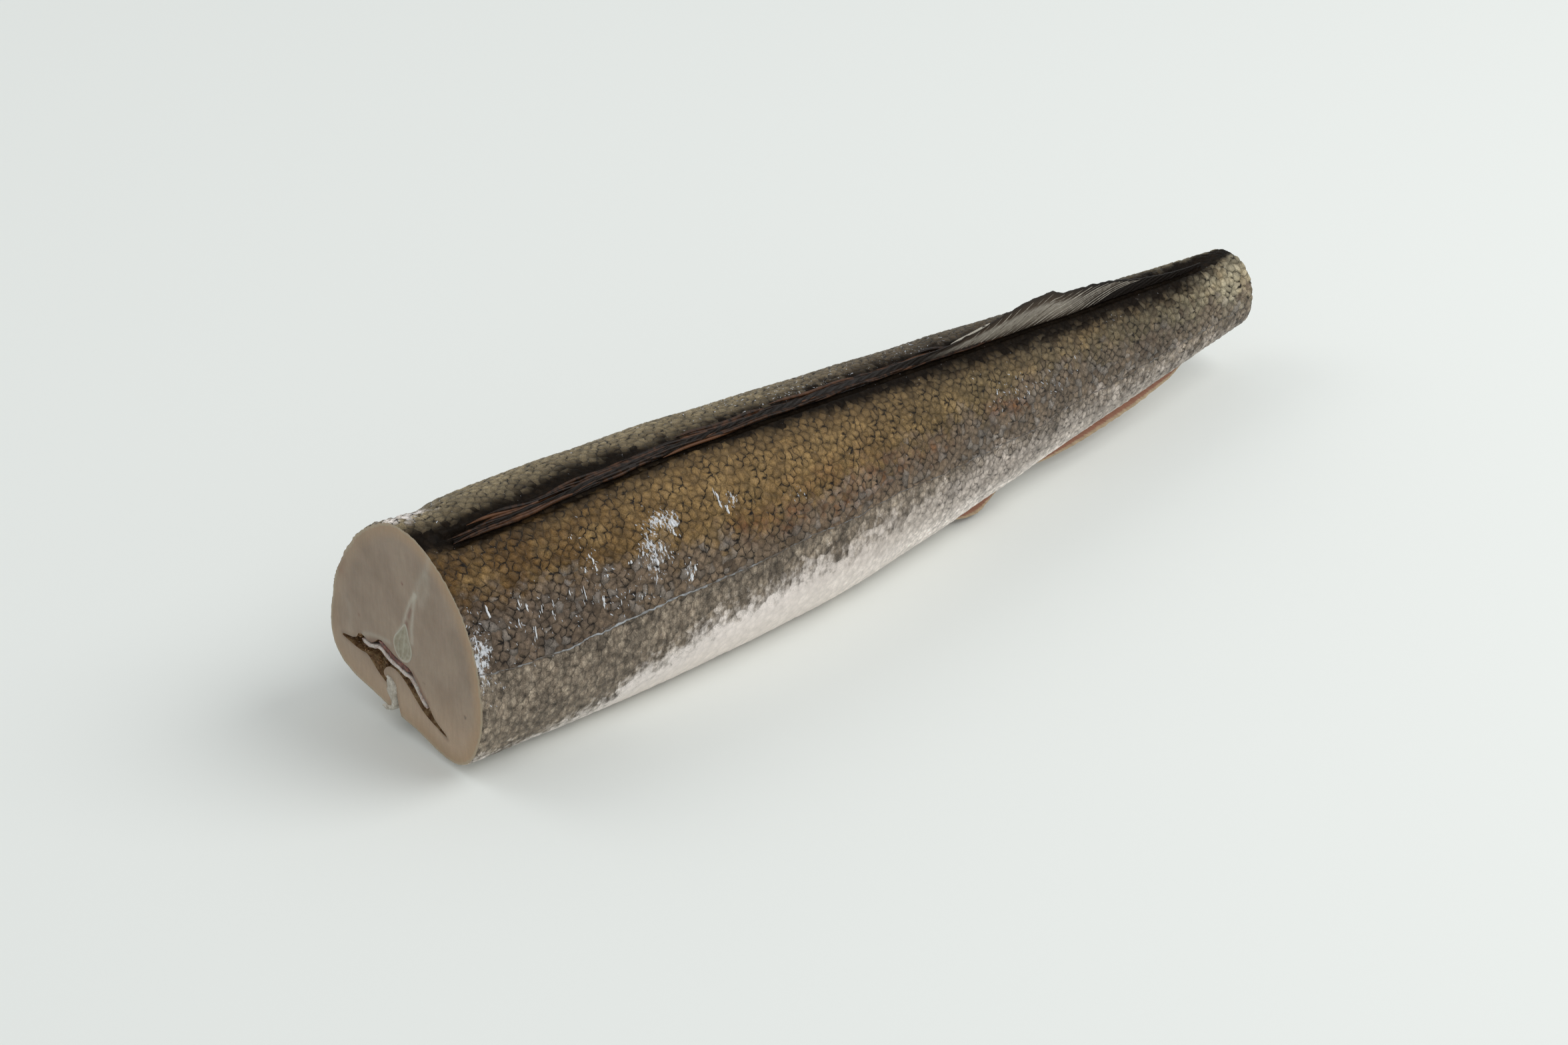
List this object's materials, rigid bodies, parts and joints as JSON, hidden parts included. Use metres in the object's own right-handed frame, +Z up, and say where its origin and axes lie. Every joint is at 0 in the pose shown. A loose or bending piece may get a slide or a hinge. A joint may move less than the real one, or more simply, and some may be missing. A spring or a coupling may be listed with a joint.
{
  "type": "frozen hake trunk",
  "caption": "Headed, gutted and tailed hake trunk, frozen whole and lying on its belly, with folded back fin and the head cut showing backbone and gut cavity.",
  "frame": {"origin": "under the middle of the trunk, on the surface it lies on", "axes": "+X from the head cut to the tail cut, +Y towards the right flank, +Z up through the back"},
  "size_m": [0.406, 0.093, 0.0879],
  "materials": {
    "trunk": "scaly fish skin, slightly wet, with pale flesh at the cuts",
    "backbone": "matt bone",
    "belly_membrane": "smooth wet membrane",
    "kidney": "dark wet blood line",
    "dorsal_fin": "thin rayed fin, half matt",
    "anal_fin": "thin rayed fin, half matt",
    "anal_fin_stub": "trimmed fin edge, half matt"
  },
  "bodies": {
    "root": {"trunk": "trunk", "backbone": "backbone", "belly_membrane": "belly_membrane", "kidney": "kidney", "dorsal_fin": "dorsal_fin", "anal_fin": "anal_fin", "anal_fin_stub": "anal_fin_stub"}
  },
  "joints": []
}
